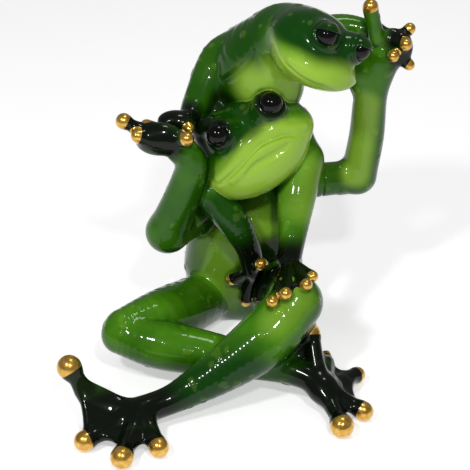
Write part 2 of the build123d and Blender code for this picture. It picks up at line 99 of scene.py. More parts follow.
class Egg:
    def __init__(self, middle, radii, axes=None):
        self.middle = np.array(middle, dtype=float)
        self.radii = np.array(radii, dtype=float)
        self.axes = np.eye(3) if axes is None else np.array(axes)
        span = np.sqrt(((self.axes * self.radii[:, None]) ** 2).sum(axis=0))
        self.low = self.middle - span
        self.high = self.middle + span

    def distance(self, points, low=None, high=None):
        local = (points - self.middle) @ self.axes.T
        inner = np.linalg.norm(local / self.radii, axis=1)
        slope = np.linalg.norm(local / self.radii**2, axis=1)
        return inner * (inner - 1) / np.maximum(slope, 1e-6)


class Ball(Egg):
    def __init__(self, middle, radius):
        super().__init__(middle, (radius, radius, radius))

    def distance(self, points, low=None, high=None):
        return np.linalg.norm(points - self.middle, axis=1) - self.radii[0]


def smooth_course(stops, steps):
    stops = np.array(stops, dtype=float)
    if len(stops) < 3:
        return stops
    ends = np.vstack([2 * stops[0] - stops[1], stops, 2 * stops[-1] - stops[-2]])
    course = [stops[0]]
    for index in range(1, len(ends) - 2):
        before, start, end, after = ends[index - 1:index + 3]
        for step in range(1, steps + 1):
            t = step / steps
            course.append(0.5 * (
                2 * start + (end - before) * t
                + (2 * before - 5 * start + 4 * end - after) * t**2
                + (3 * start - before - 3 * end + after) * t**3
            ))
    return np.array(course)


# A round rope through stops of x, y, z and radius
class Rope:
    def __init__(self, stops, steps=6, blend=0.0):
        self.blend = blend
        self.take(smooth_course(stops, steps))

    def take(self, course):
        self.starts, self.ends = course[:-1], course[1:]
        self.bound()

    def bound(self):
        thick = np.maximum(self.starts[:, 3], self.ends[:, 3])[:, None]
        self.lows = np.minimum(self.starts[:, :3], self.ends[:, :3]) - thick
        self.highs = np.maximum(self.starts[:, :3], self.ends[:, :3]) + thick
        self.low = self.lows.min(axis=0)
        self.high = self.highs.max(axis=0)

    def distance(self, points, low=None, high=None):
        nearest = np.full(len(points), FAR)
        for index in range(len(self.starts)):
            if low is not None and (
                np.any(self.lows[index] - REACH > high) or np.any(self.highs[index] + REACH < low)
            ):
                continue
            start, course = self.starts[index], self.ends[index] - self.starts[index]
            offset = points - start[:3]
            along = np.clip(offset @ course[:3] / max(course[:3] @ course[:3], 1e-9), 0, 1)
            gap = np.linalg.norm(offset - along[:, None] * course[:3], axis=1)
            nearest = smooth_min(nearest, gap - start[3] - along * course[3], self.blend)
        return nearest


def segment_gap(points, start, end):
    course = end - start
    along = np.clip((points - start) @ course / (course @ course), 0, 1)
    return np.linalg.norm(points - start - along[:, None] * course, axis=1)


# The skin between two digits: a thin sheet from the palm with a free edge that sags towards it
class Web:
    def __init__(self, palm, first, second, thickness, reach, sag, turns=8):
        self.palm, self.thickness = np.array(palm, dtype=float), thickness
        first, second = np.array(first) - palm, np.array(second) - palm
        edge = []
        for share in np.linspace(0, 1, turns + 1):
            pull = 1 - sag * 4 * share * (1 - share)
            edge.append(palm + (first * (1 - share) + second * share) * reach * pull)
        self.edge = np.array(edge)
        corners = np.vstack([self.edge, self.palm])
        self.low, self.high = corners.min(axis=0) - thickness, corners.max(axis=0) + thickness

    def distance(self, points, low=None, high=None):
        nearest = np.full(len(points), FAR)
        for start, end in zip(self.edge[:-1], self.edge[1:]):
            corners = (self.palm, start, end)
            normal = unit(np.cross(start - self.palm, end - self.palm))
            gap = np.abs((points - self.palm) @ normal)
            over = np.ones(len(points), dtype=bool)
            rim = np.full(len(points), FAR)
            for index in range(3):
                one, two = corners[index], corners[(index + 1) % 3]
                over &= (points - one) @ np.cross(normal, two - one) >= 0
                rim = np.minimum(rim, segment_gap(points, one, two))
            nearest = np.minimum(nearest, np.where(over, gap, rim))
        return nearest - self.thickness


class Ring:
    def __init__(self, middle, axis, radius, thickness):
        self.middle, self.axis = np.array(middle, dtype=float), unit(np.array(axis, dtype=float))
        self.radius, self.thickness = radius, thickness
        self.low = self.middle - radius - thickness
        self.high = self.middle + radius + thickness

    def distance(self, points, low=None, high=None):
        offset = points - self.middle
        height = offset @ self.axis
        out = np.linalg.norm(offset - height[:, None] * self.axis, axis=1) - self.radius
        return np.sqrt(out**2 + height**2) - self.thickness


# The part of a ball that lies beyond a plane through it
class Cap(Ball):
    def __init__(self, middle, radius, axis, start):
        super().__init__(middle, radius)
        self.axis, self.start = unit(np.array(axis, dtype=float)), start

    def distance(self, points, low=None, high=None):
        beyond = self.start - (points - self.middle) @ self.axis
        return np.maximum(super().distance(points), beyond)


class Below:
    def __init__(self, height):
        self.height = height
        self.low = place(-500, -500, -500)
        self.high = place(500, 500, height)

    def distance(self, points, low=None, high=None):
        return points[:, 2] - self.height


class Piece:
    def __init__(self, name, blend):
        self.name, self.blend = name, blend
        self.steps = []
        self.tips = []

    def add(self, mass, blend=2.0):
        self.steps.append((1, mass, blend))

    def cut(self, mass, blend=0.5):
        self.steps.append((-1, mass, blend))

    def near(self, low, high):
        return [s for s in self.steps if np.all(s[1].low - REACH < high) and np.all(s[1].high + REACH > low)]

    def distance(self, points, low, high):
        steps = self.near(low, high)
        if not any(kind > 0 for kind, mass, blend in steps):
            return None
        total = np.full(len(points), FAR)
        for kind, mass, blend in steps:
            total = kind * smooth_min(kind * total, mass.distance(points, low, high), blend)
        return total


# Digits: a stem that thins and ends in a round pad, with skin between neighbours
def add_digits(piece, palm, digits, stem, webs, sag=0.35, reach=0.72):
    palm = np.array(palm, dtype=float)
    for *course, pad in digits:
        tip = np.array(course[-1], dtype=float)
        stops = [[*(palm + (np.array(course[0]) - palm) * 0.08), stem * 1.25]]
        for bend in course[:-1]:
            stops.append([*bend, stem * 1.05])
        last = np.array(stops[-1][:3])
        stops.append([*(last + (tip - last) * 0.62), stem])
        stops.append([*(tip - unit(tip - last) * pad * 0.75), min(stem * 1.05, pad)])
        piece.add(Rope(stops, 4), 1.6)
        piece.add(Ball(tip, pad), pad * 0.45)
        piece.tips.append((tip, unit(tip - last), pad))
    for first, second in webs:
        one, two = np.array(digits[first][-2]), np.array(digits[second][-2])
        piece.add(Web(palm, one, two, stem * 0.45, reach, sag), 2.2)


# Father's torso, head and limbs

father_torso = Piece("father_torso", 0)
father_torso.add(Egg((0, -2, 10), (28, 23, 17)))
father_torso.add(Egg((0, -6, 27), (30.5, 26, 25)), 8)
father_torso.add(Egg((1, -5, 45), (28.5, 24, 25)), 8)
father_torso.add(Rope([(4, 0, 60, 17), (6, 2, 78, 12)]), 8)
father_torso.cut(Below(0), 1.5)

HEAD_MIDDLE = place(7.6, -19.7, 102.1)
HEAD_SIDE = unit(place(0.84, 0.22, 0.50))
HEAD_UP = unit(place(-0.45, -0.05, 0.89) - HEAD_SIDE * (place(-0.45, -0.05, 0.89) @ HEAD_SIDE))
HEAD_BACK = np.cross(HEAD_UP, HEAD_SIDE)
HEAD_AXES = np.array([HEAD_SIDE, HEAD_BACK, HEAD_UP])

CHILD_HEAD_MIDDLE = place(33.5, -24.0, 154.5)
CHILD_SIDE = unit(place(0.84, 0.30, -0.45))
CHILD_UP = unit(place(0.42, 0.09, 0.84) - CHILD_SIDE * (place(0.42, 0.09, 0.84) @ CHILD_SIDE))
CHILD_BACK = np.cross(CHILD_UP, CHILD_SIDE)
CHILD_AXES = np.array([CHILD_SIDE, CHILD_BACK, CHILD_UP])


class Face:
    def __init__(self, piece, middle, axes):
        self.piece, self.middle, self.axes = piece, middle, axes

    def spot(self, left, back, up):
        return self.middle + place(left, back, up) @ self.axes

    # The place on the face that a look from straight ahead meets
    def front(self, left, up, proud=0.0):
        depth = -70.0
        for step in range(60):
            spot = self.spot(left, depth, up)
            gap = self.piece.distance(spot[None], spot - 1, spot + 1)
            gap = REACH if gap is None else min(float(gap[0]), REACH)
            depth += max(gap, 0.0) * 0.8
            if gap < 0.02 or depth > 0:
                break
        return self.spot(left, depth - proud, up)

    def line(self, points, proud=0.0):
        return [[*self.front(left, up, proud), radius] for left, up, radius in points]


father_head = Piece("father_head", 3.0)
face = Face(father_head, HEAD_MIDDLE, HEAD_AXES)
father_head.add(Egg(face.spot(0, 4, 4), (27, 22, 19), HEAD_AXES))
father_head.add(Egg(face.spot(-1, -4, 0), (30.5, 19, 14), HEAD_AXES), 6)
father_head.add(Egg(face.spot(-4, -4, -6.5), (25, 18.5, 13), HEAD_AXES), 5)
father_head.add(Ball((-16.5, -19, 109), 8.5), 5)
for side in ("right", "left"):
    middle = eye_middle(f"father_{side}_eye")
    radius = node_radius(f"father_{side}_eye")
    look = unit(middle - face.spot(0, 10, 0))
    father_head.add(Ball(middle - look * 6.0, radius + 3.0), 5)
    father_head.add(Ring(middle - look * 1.8, look, radius + 0.8, 1.1), 1.2)
    father_head.cut(Ball(middle, radius - 0.1), 0.2)

# The mouth: one long arch with an overhanging upper lip, a plump lower lip and a fold under it
mouth = [(-26, 1.0, 0.5), (-23.2, 2.3, 0.7), (-14.6, 5.4, 0.9), (-5, 8.6, 0.9), (1.5, 9.5, 0.9), (6.9, 8.6, 0.9),
         (13.7, 6.4, 0.9), (18.3, 2.5, 0.8), (21.9, 0.2, 0.7), (25.4, -0.5, 0.5)]
upper_lip = [(-25, 4, 0.9), (-15, 8, 1.6), (-5, 11.3, 1.8), (1.5, 12.2, 1.9), (7.5, 11.3, 1.8), (14, 9, 1.6), (19, 5.2, 1.4), (24, 2, 0.9)]
lower_lip = [(-20, 0.8, 0.8), (-13, 3.2, 1.4), (-5, 6.0, 1.8), (2, 6.4, 2.0), (8, 5.6, 1.8), (13.5, 3.6, 1.3), (18, 0.2, 0.8)]
lip_fold = [(-12, 1.2, 0.4), (-6.5, 3.0, 0.9), (2.4, 2.5, 1.1), (8.3, 1.9, 1.0), (11.9, 2.2, 0.5)]
upper_course = face.line(upper_lip, -0.9)
lower_course = face.line(lower_lip, -1.0)
father_head.add(Rope(upper_course), 3.0)
father_head.add(Rope(lower_course), 2.5)
father_head.cut(Rope(face.line(mouth, 0.1)), 1.0)
father_head.cut(Rope(face.line(lip_fold, 0.3)), 2.0)

father_left_leg = Piece("father_left_leg", 5.0)
father_left_leg.add(Rope([(18, -12, 17, 15), (22, -45, 31, 15), (24.5, -73, 45, 13)]))
father_left_leg.add(Rope([(25, -75, 45.5, 12.8), (11, -86, 33, 14), (-10, -96.5, 21.5, 11), (-32, -107, 13, 7.2),
                          (-48, -114, 10.5, 6.6)]), 3.0)
left_toes = [
    ((-73.5, -130.5, 5.2), 5.0),
    ((-55.5, -143, 5.4), 5.4),
    ((-39, -135, 5.0), 4.8),
    ((-71, -112, 14), (-81.5, -106, 29.5), 6.0),
]
add_digits(father_left_leg, (-48, -114, 10), left_toes, 4.0, ((0, 1), (1, 2)), 0.16, 0.86)
father_left_leg.add(Web(place(-48, -114, 10), place(-74, -130, 5.2), place(-80, -107, 24), 2.4, 0.92, 0.06), 2)
father_left_leg.add(Egg((-50, -116, 9.5), (9, 8, 5.5)), 4)
father_left_leg.cut(Below(0), 0.6)

father_right_leg = Piece("father_right_leg", 5.0)
father_right_leg.add(Rope([(-15, -14, 12, 13), (-38, -49, 21.5, 14.6), (-58, -66, 24.5, 10.5)]))
father_right_leg.add(Rope([(-60, -68, 22.5, 9.6), (-41, -73, 20, 12), (-19, -77, 18, 11), (11, -82, 14.5, 8),
                           (27, -89, 14.2, 6.8), (38, -96, 12, 6.4)]), 2.0)
right_toes = [
    ((56, -77, 5), 4.0),
    ((57, -107, 5), 4.8),
    ((46, -119.5, 5.6), 5.7),
    ((35, -88, 20), (33, -78, 30), 4.3),
    ((40.5, -75, 15), 2.6),
]
add_digits(father_right_leg, (38, -97, 11), right_toes, 3.8, ((1, 2), (0, 1), (4, 0)), 0.16, 0.86)
father_right_leg.add(Web(place(36, -98, 11), place(33, -78, 29), place(43, -75, 14), 2.2, 0.85, 0.1), 2)
father_right_leg.add(Web(place(32, -92, 12), place(33, -78, 29), place(17, -82, 22), 2.4, 1.0, 0.04), 2)
father_right_leg.add(Egg((38.5, -98, 10.5), (7.5, 7.5, 6)), 4)
father_right_leg.cut(Below(0), 0.6)

father_left_arm = Piece("father_left_arm", 2.0)
father_left_arm.add(Rope([(27, -6, 74.5, 9.4), (44, -2, 74, 8.6), (57.5, 2, 73.5, 8.6)]))
father_left_arm.add(Rope([(59.2, 2, 74, 9.2), (62.3, 1, 97, 8.9), (63.5, -1, 122, 8.3), (68.5, -2, 140, 8.2)]), 4)
left_fingers = [
    ((63.5, -2.5, 156), (61, -4, 168.5), 3.7),
    ((81, 1, 155), 2.9),
    ((78.5, -9, 151), 3.0),
    ((72.5, -10.5, 145.5), 2.9),
    ((81, -5, 138.5), 2.8),
]
add_digits(father_left_arm, (70.5, -2, 145), left_fingers, 2.6, ((1, 2), (2, 3), (2, 4)), 0.1, 0.85)
father_left_arm.add(Egg((72.5, -1, 145.5), (8, 5, 10.5)), 3)
father_left_arm.add(Egg((76.5, -4, 147), (6, 4, 8)), 2)
father_left_arm.add(Egg((58.5, -1, 131), (7.5, 6, 11)), 4)
father_left_arm.add(Rope([(65, -2.5, 151, 4), (61, -4, 166.5, 3.6)]), 1.5)
father_left_arm.cut(Ring((39.5, -3, 74.2), (0.98, 0.17, -0.02), 8.7, 0.5), 0.3)

father_right_arm = Piece("father_right_arm", 2.0)
father_right_arm.add(Rope([(-17, -8, 61, 10), (-28, -21, 60, 9.6), (-37, -31, 60, 10)]))
father_right_arm.add(Rope([(-38, -32, 60, 10.2), (-30, -34, 80, 9.2), (-25, -35, 98, 8.0), (-28, -36, 107, 6.8)]), 4)
right_fingers = [
    ((-47, -35, 117), (-57, -35, 122.5), 4.0),
    ((-50.5, -40, 117.2), 3.1),
    ((-46.5, -32, 118.8), 3.0),
    ((-26.8, -41, 116), 3.5),
]
add_digits(father_right_arm, (-34, -36, 111), right_fingers, 2.7, ((0, 1), (0, 2)), 0.2, 0.85)
father_right_arm.add(Egg((-40, -36, 113.5), (12, 6, 8.5)), 4)
father_right_arm.add(Web(place(-30, -36, 108), place(-57, -35, 121), place(-29, -36, 98), 2.4, 0.8, 0.35), 3)

# Child's torso, head and limbs
child_torso = Piece("child_torso", 0)
child_torso.add(Rope([(-2, 15, 95, 17), (3.5, 8, 116, 19.5), (6, 3, 136, 19.5), (17, -5, 151, 17)], 5))
child_torso.add(Egg((25, -8, 152.5), (17, 16, 17)), 8)
child_torso.add(Egg((13, -7, 129.5), (17, 15, 18)), 6)
child_torso.add(Ball((-12, -5, 111), 8), 4)
child_torso.cut(Rope([(-9.9, -8.8, 131.6, 0.6), (-4, -14.2, 138.3, 1.1), (0.8, -16.6, 144.1, 1.1), (5.1, -18, 150.9, 0.6)]), 2.5)

child_head = Piece("child_head", 8.0)
child_face = Face(child_head, CHILD_HEAD_MIDDLE, CHILD_AXES)
child_head.add(Egg(child_face.spot(-1, 3, 2), (21.5, 18, 15.5), CHILD_AXES))
child_head.add(Egg(child_face.spot(0, -9, -4), (20.5, 15, 10), CHILD_AXES), 6)
child_head.add(Egg(child_face.spot(0, -3.5, -7.5), (18, 13.5, 7.8), CHILD_AXES), 3)
for side in ("right", "left"):
    middle = eye_middle(f"child_{side}_eye")
    radius = node_radius(f"child_{side}_eye")
    look = unit(middle - child_face.spot(0, 6, 1))
    child_head.add(Ball(middle - look * 4.6, radius + 2.4), 4)
    child_head.add(Ring(middle - look * 0.6, look, radius + 0.8, 1.2), 1.2)
    lid_start = 1.4 if side == "right" else 0.5
    child_head.add(Cap(middle, radius + 1.1, CHILD_UP + CHILD_BACK * 0.5, lid_start), 0.6)
    child_head.cut(Ball(middle, radius - 0.1), 0.2)
child_mouth = [(-20, -5.5, 0.5), (-16, -7.6, 0.7), (-11, -8.4, 0.8), (-5, -8.6, 0.8), (0, -8.2, 0.8), (6, -8.6, 0.8),
               (12, -8.2, 0.8), (17, -7.0, 0.6), (20, -5.5, 0.5)]
child_lip = [(-18.5, -3.8, 0.8), (-10, -5.8, 1.4), (0, -5.4, 1.6), (10, -5.8, 1.4), (18.5, -3.8, 0.8)]
child_lip_course = child_face.line(child_lip, -0.7)
child_head.add(Rope(child_lip_course), 2.5)
child_head.cut(Rope(child_face.line(child_mouth, 0.1)), 0.8)

child_right_arm = Piece("child_right_arm", 4.0)
child_right_arm.add(Rope([(1, 6, 144, 9.5), (-12, 8, 136, 9.2), (-22, -6, 119.5, 7.6), (-26, -18, 116, 5.6)], 6))
right_child_fingers = [((-26, -31, 116.3), 2.5), ((-41, -31, 116.5), 2.6)]
add_digits(child_right_arm, (-26, -18, 116), right_child_fingers, 2.6, ((0, 1),))
child_right_arm.add(Egg((-32.5, -25, 118), (9, 6, 5)), 3)

child_left_arm = Piece("child_left_arm", 4.0)
child_left_arm.add(Rope([(30, 2, 151, 8.4), (48, 5, 154, 6.6), (59, 3.5, 153.5, 5.4), (65, 3, 152.5, 4.8)], 6))
left_child_fingers = [((74.5, 3, 151.5), 2.6), ((71, 5, 147), 2.5)]
add_digits(child_left_arm, (65, 3, 152.5), left_child_fingers, 2.4, ((0, 1),))

child_right_leg = Piece("child_right_leg", 3.0)
child_right_leg.add(Rope([(-11, 6, 94, 12), (-14, -14, 88, 10.2), (-15, -29, 80, 8.8)]))
child_right_leg.add(Rope([(-15, -30, 79.5, 8.8), (-5.5, -35, 68.5, 8.0), (2, -37, 55, 6.4), (5, -37.5, 42, 5.8)]), 3)
right_child_toes = [((9, -47, 50.2), 3.3), ((-6, -33.5, 33), 2.9), ((1.4, -34, 20.5), 2.9)]
add_digits(child_right_leg, (5, -37.5, 42), right_child_toes, 2.5, ((1, 2), (0, 2)), 0.12, 0.9)

child_left_leg = Piece("child_left_leg", 3.0)
child_left_leg.add(Rope([(11, 12, 102, 12), (22, -6, 102.5, 11), (29.2, -19, 95, 9.8)]))
child_left_leg.add(Rope([(29.6, -20, 93.5, 10.2), (26.2, -33, 80.5, 9.6), (24, -46, 64, 6.6), (22, -57, 57.5, 6.0)]), 3)
left_child_toes = [((13.5, -86.5, 53.3), 2.9), ((19.8, -84.7, 56.6), 3.0), ((29.8, -80.7, 59.2), 2.8), ((33.2, -72.5, 58.8), 2.6)]
add_digits(child_left_leg, (22.5, -57, 57.5), left_child_toes, 2.5, ((0, 1), (1, 2), (2, 3)), 0.06, 0.92)

FATHER = [father_torso, father_head, father_left_leg, father_right_leg, father_left_arm, father_right_arm]
CHILD = [child_torso, child_head, child_right_arm, child_left_arm, child_right_leg, child_left_leg]
PIECES = FATHER + CHILD


# The distance to each piece near a block of space, and to the whole figure with its soft creases
def figure(points, low, high):
    single = {}
    family = []
    for group in (FATHER, CHILD):
        whole = None
        for piece in group:
            gap = piece.distance(points, low, high)
            if gap is None:
                continue
            single[piece.name] = gap
            whole = gap if whole is None else smooth_min(whole, gap, piece.blend)
        if whole is not None:
            family.append(whole)
    if not family:
        return single, None
    whole = family[0] if len(family) == 1 else smooth_min(family[0], family[1], TOUCH_BLEND)
    return single, np.maximum(whole, -points[:, 2])


def piece_field(name, single, whole):
    others = [gap for other, gap in single.items() if other != name]
    if not others:
        return whole
    lead = single[name] - np.minimum.reduce(others)
    return np.maximum(whole + SEAM_SINK * np.maximum(lead - SEAM_BAND, 0), lead - SEAM_OVERLAP)


def block_fields():
    low = np.minimum.reduce([step[1].low for piece in PIECES for step in piece.steps if step[0] > 0]) - 2
    high = np.maximum.reduce([step[1].high for piece in PIECES for step in piece.steps if step[0] > 0]) + 2
    low[2] = -4 * CELL
    edge = BLOCK_CELLS * CELL
    counts = np.ceil((high - low) / edge).astype(int)
    grid = np.stack(np.meshgrid(*[np.arange(BLOCK_CELLS + 1) * CELL] * 3, indexing="ij"), axis=-1).reshape(-1, 3)
    blocks = {piece.name: [] for piece in PIECES}
    for index in np.ndindex(*counts):
        corner = low + np.array(index) * edge
        middle = (corner + edge / 2)[None]
        single, whole = figure(middle, corner, corner + edge)
        if whole is None or whole[0] > edge:
            continue
        single, whole = figure(corner + grid, corner, corner + edge)
        for name in single:
            values = piece_field(name, single, whole)
            if values.min() < 0:
                blocks[name].append((np.array(index), values.astype(np.float32)))
    return low, blocks


def dense_field(low, entries):
    first = np.min([index for index, values in entries], axis=0)
    last = np.max([index for index, values in entries], axis=0)
    shape = (last - first + 1) * BLOCK_CELLS + 1
    field = np.full(shape + 2, 5.0, dtype=np.float32)
    for index, values in entries:
        at = (index - first) * BLOCK_CELLS + 1
        size = BLOCK_CELLS + 1
        cube = values.reshape(size, size, size)
        field[at[0]:at[0] + size, at[1]:at[1] + size, at[2]:at[2] + size] = cube
    return field, low + first * BLOCK_CELLS * CELL - CELL


# One vertex in each cell that the surface crosses, one quad over each grid edge that it crosses
def surface_mesh(field, origin):
    inside = field < 0
    corners = [(x, y, z) for x in (0, 1) for y in (0, 1) for z in (0, 1)]
    count = np.zeros(np.array(field.shape) - 1, dtype=np.int8)
    nx, ny, nz = count.shape
    for x, y, z in corners:
        count += inside[x:x + nx, y:y + ny, z:z + nz]
    cells = np.argwhere((count > 0) & (count < 8))
    number = np.full(count.shape, -1, dtype=np.int64)
    number[tuple(cells.T)] = np.arange(len(cells))
    values = {c: field[cells[:, 0] + c[0], cells[:, 1] + c[1], cells[:, 2] + c[2]] for c in corners}
    total = np.zeros((len(cells), 3))
    crossings = np.zeros(len(cells))
    for c in corners:
        for axis in range(3):
            if c[axis]:
                continue
            end = tuple(1 if a == axis else c[a] for a in range(3))
            start_value, end_value = values[c], values[end]
            crosses = (start_value < 0) != (end_value < 0)
            share = np.where(crosses, start_value / np.where(crosses, start_value - end_value, 1), 0)
            spot = np.tile(np.array(c, dtype=float), (len(cells), 1))
            spot[:, axis] += share
            total += spot * crosses[:, None]
            crossings += crosses
    points = origin + (cells + total / crossings[:, None]) * CELL
    quads = []
    for axis in range(3):
        one, two = (axis + 1) % 3, (axis + 2) % 3
        low_side = np.take(inside, range(inside.shape[axis] - 1), axis=axis)
        high_side = np.take(inside, range(1, inside.shape[axis]), axis=axis)
        edges = np.argwhere(low_side != high_side)
        keep = (edges[:, one] > 0) & (edges[:, two] > 0)
        edges = edges[keep]
        edges = edges[(edges[:, one] < count.shape[one]) & (edges[:, two] < count.shape[two])]
        ring = []
        for back_one, back_two in ((1, 1), (0, 1), (0, 0), (1, 0)):
            cell = edges.copy()
            cell[:, one] -= back_one
            cell[:, two] -= back_two
            ring.append(number[tuple(cell.T)])
        ring = np.stack(ring, axis=1)
        outward = inside[tuple(edges.T)]
        ring[~outward] = ring[~outward][:, ::-1]
        quads.append(ring)
    return points, np.concatenate(quads)


def relax(points, quads, rounds):
    pairs = np.concatenate([quads[:, [0, 1]], quads[:, [1, 2]], quads[:, [2, 3]], quads[:, [3, 0]]])
    pairs = np.concatenate([pairs, pairs[:, ::-1]])
    degree = np.bincount(pairs[:, 0], minlength=len(points))[:, None]
    for weight in (0.5, -0.52) * rounds:
        middle = np.stack([np.bincount(pairs[:, 0], points[pairs[:, 1], a], len(points)) for a in range(3)], axis=1)
        points = points + (middle / np.maximum(degree, 1) - points) * weight
    return points


def vertex_normals(points, quads):
    across = np.cross(points[quads[:, 2]] - points[quads[:, 0]], points[quads[:, 3]] - points[quads[:, 1]])
    normals = np.stack([np.bincount(quads.ravel(), np.repeat(across[:, a], 4), len(points)) for a in range(3)], axis=1)
    return normals / np.maximum(np.linalg.norm(normals, axis=1), 1e-9)[:, None]


# Paint masks: how far each sprayed colour covers a place, both airbrushed paint and painted light and shade
class FacePaint:
    def __init__(self, face, border, behind):
        self.face, self.border, self.behind = face, np.array(border), behind

    def distance(self, points):
        local = (points - self.face.middle) @ self.face.axes.T
        above = local[:, 2] - np.interp(local[:, 0], self.border[:, 0], self.border[:, 1])
        return np.maximum(above, local[:, 1] - self.behind)


# Yellow-green: airbrushed paint on faces, throats and bellies; the chest and limb sprays are partly painted light on
# lit sides
LIME_AND_LIGHT_SPRAYS = [
    (FacePaint(face, [(-30, 4), (-24, 8), (-17, 11), (-6, 15), (2, 15), (9, 16), (16, 14), (25, 6), (30, 2)], 0),
     -4, 2, 1.0, "father_head"),
    (FacePaint(child_face, [(-22, -2), (-16, 1), (-8, 1.5), (0, 3.5), (8, 4), (16, 4), (22, 0)], 4), -5, 3, 0.95, "child_head"),
    (Rope([(25, -22, 142, 8), (14, -24, 130, 8), (5, -20, 133, 4)]), 0, 13, 0.8, "child_torso"),
    (Rope([(30, -26, 92, 4), (27, -38, 76, 4)]), 0, 9, 0.55, "child_left_leg"),
    (Rope([(26, -86, 56, 5), (16, -94, 48, 4)]), 0, 10, 0.35, "father_left_leg"),
    (Rope([(57, -8, 80, 4), (60, -9, 118, 4)]), 0, 7, 0.6, "father_left_arm"),
    (Rope([(24, -22, 82, 6), (20, -28, 72, 5)]), 0, 9, 0.5, "father_torso"),
    (Rope([(-14, -28, 46, 8), (-8, -30, 26, 8)]), 0, 12, 0.3, "father_torso"),
    (Rope([(8, -26, 76, 6), (10, -28, 60, 6)]), 0, 9, 0.45, "father_torso"),
]
# Dark green: partly the airbrushed dark backs, partly painted shade on undersides, inner sides and sides turned from
# the light
DEEP_AND_SHADE_SPRAYS = [
    (Rope([(-4, 10, 96, 16), (2, 8, 120, 16), (8, 2, 146, 14), (24, -6, 158, 12)]), 3, 13, 0.85, "child_torso"),
    (Egg(child_face.spot(0, 2, 10), (24, 22, 9), CHILD_AXES), 2, 8, 1.0, "child_head"),
    (Egg(face.spot(0, 2, 20), (28, 26, 10), HEAD_AXES), 0, 6, 0.95, "father_head"),
    (Rope([(72, 2, 72, 4), (74, 0, 110, 4), (76, 2, 130, 4)]), 0, 9, 0.9, "father_left_arm"),
    (Rope([(34, -6, 70, 8), (52, -4, 68, 6)]), 0, 9, 0.4, "father_left_arm"),
    (Rope([(-26, -42, 66, 4), (-20, -44, 88, 3)]), 0, 9, 0.75, "father_right_arm"),
    (Rope([(-38, -40, 66, 6), (-30, -40, 98, 6)]), 0, 12, 0.45, "father_right_arm"),
    (Rope([(0, -106, 22, 4), (-40, -112, 12, 8)]), 4, 20, 1.0, "father_left_leg"),
    (Rope([(-12, -34, 74, 6), (2, -42, 58, 6)]), 2, 10, 0.9, "child_right_leg"),
    (Rope([(-30, -86, 8, 4), (24, -90, 12, 6)]), 0, 14, 0.8, "father_right_leg"),
    (Rope([(-4, 8, 140, 9), (-22, -6, 120, 9)]), 0, 10, 0.7, "child_right_arm"),
    (Rope([(30, 2, 151, 8), (62, 0, 153, 6)]), 0, 8, 0.5, "child_left_arm"),
]
# Black: paint on hands, feet and round the eyes; the sprays under the child's right hand and foot and in the gap
# between the child and the father's head are painted shade
INK_AND_SHADE_SPRAYS = [
    (Rope([(-46, -113, 11, 7), (-74, -124, 8, 8)]), 2, 20, 1.0),
    (Rope([(-74, -110, 16, 4), (-82, -106, 30, 5)]), 2, 8, 0.95),
    (Rope([(-44, -134, 6, 5), (-58, -138, 6, 6)]), 2, 10, 1.0),
    (Rope([(37, -98, 12, 8), (46, -98, 8, 8)]), 2, 17, 1.0),
    (Rope([(56, -77, 6, 6), (44, -76, 12, 5)]), 3, 10, 1.0),
    (Rope([(54, -106, 6, 6), (45, -118, 6, 6)]), 3, 10, 1.0),
    (Rope([(34, -84, 26, 4), (34, -78, 30, 4)]), 3, 9, 1.0),
    (Rope([(-36, -37, 113, 4), (-56, -36, 122, 4)]), 2, 9, 1.0),
    (Rope([(-29, -22, 117, 6), (-38, -26, 119, 5)]), 1, 9, 1.0, "child_right_arm"),
    # painted shade under the child's right hand
    (Rope([(-24, -20, 108, 6), (-22, -24, 114, 5)]), 1, 9, 0.9, "father_head"),
    # painted shade in the gap between the child and the father's head
    (Rope([(-17, 2, 108, 6), (-9, -8, 117, 5)]), 1, 8, 0.8, "child_torso", "child_right_arm"),
    (Rope([(77, -3, 150, 5), (79, -5, 141, 4)]), 1, 8, 1.0),
    (Rope([(66, -6, 152, 5), (74, -4, 154, 4)]), 1, 7, 1.0, "child_left_arm"),
    (Rope([(4, -38, 47, 7), (2, -35, 28, 6)]), 3, 14, 1.0, "child_right_leg"),
    (Rope([(22, -58, 56, 6), (20, -72, 57, 7), (30, -74, 58, 5)]), 2, 12, 1.0, "child_left_leg"),
    # painted shade under the child's right foot
    (Rope([(7, -46, 33, 5), (11, -56, 45, 6), (17, -42, 46, 5)]), 1, 7, 0.95, "father_left_leg"),
    # painted shade behind the child's right foot
    (Rope([(8, -28, 38, 5), (14, -28, 44, 6)]), 0, 7, 0.9, "father_torso"),
]
for owner in ("father", "child"):
    for side in ("right", "left"):
        bead_spot = eye_middle(f"{owner}_{side}_eye")
        bead_size = node_radius(f"{owner}_{side}_eye")
        darkness = 0.9 if owner == "father" else 0.35
        INK_AND_SHADE_SPRAYS.append((Ball(bead_spot, bead_size), 0.8, 3.2, darkness, f"{owner}_head"))


def spray(name, points, layers):
    cover = np.zeros(len(points))
    for mass, full, none, strength, *only in layers:
        if not only or name in only:
            cover = np.maximum(cover, strength * (1 - ramp(mass.distance(points), full, none)))
    return cover


def gold_edge(points, tips):
    edge = np.full(len(points), -1.0)
    for tip, axis, pad in tips:
        offset = points - tip
        ahead = offset @ axis / pad + 0.35
        round_pad = 1.45 - np.linalg.norm(offset, axis=1) / pad
        edge = np.maximum(edge, np.minimum(ahead, round_pad * 2))
    return edge


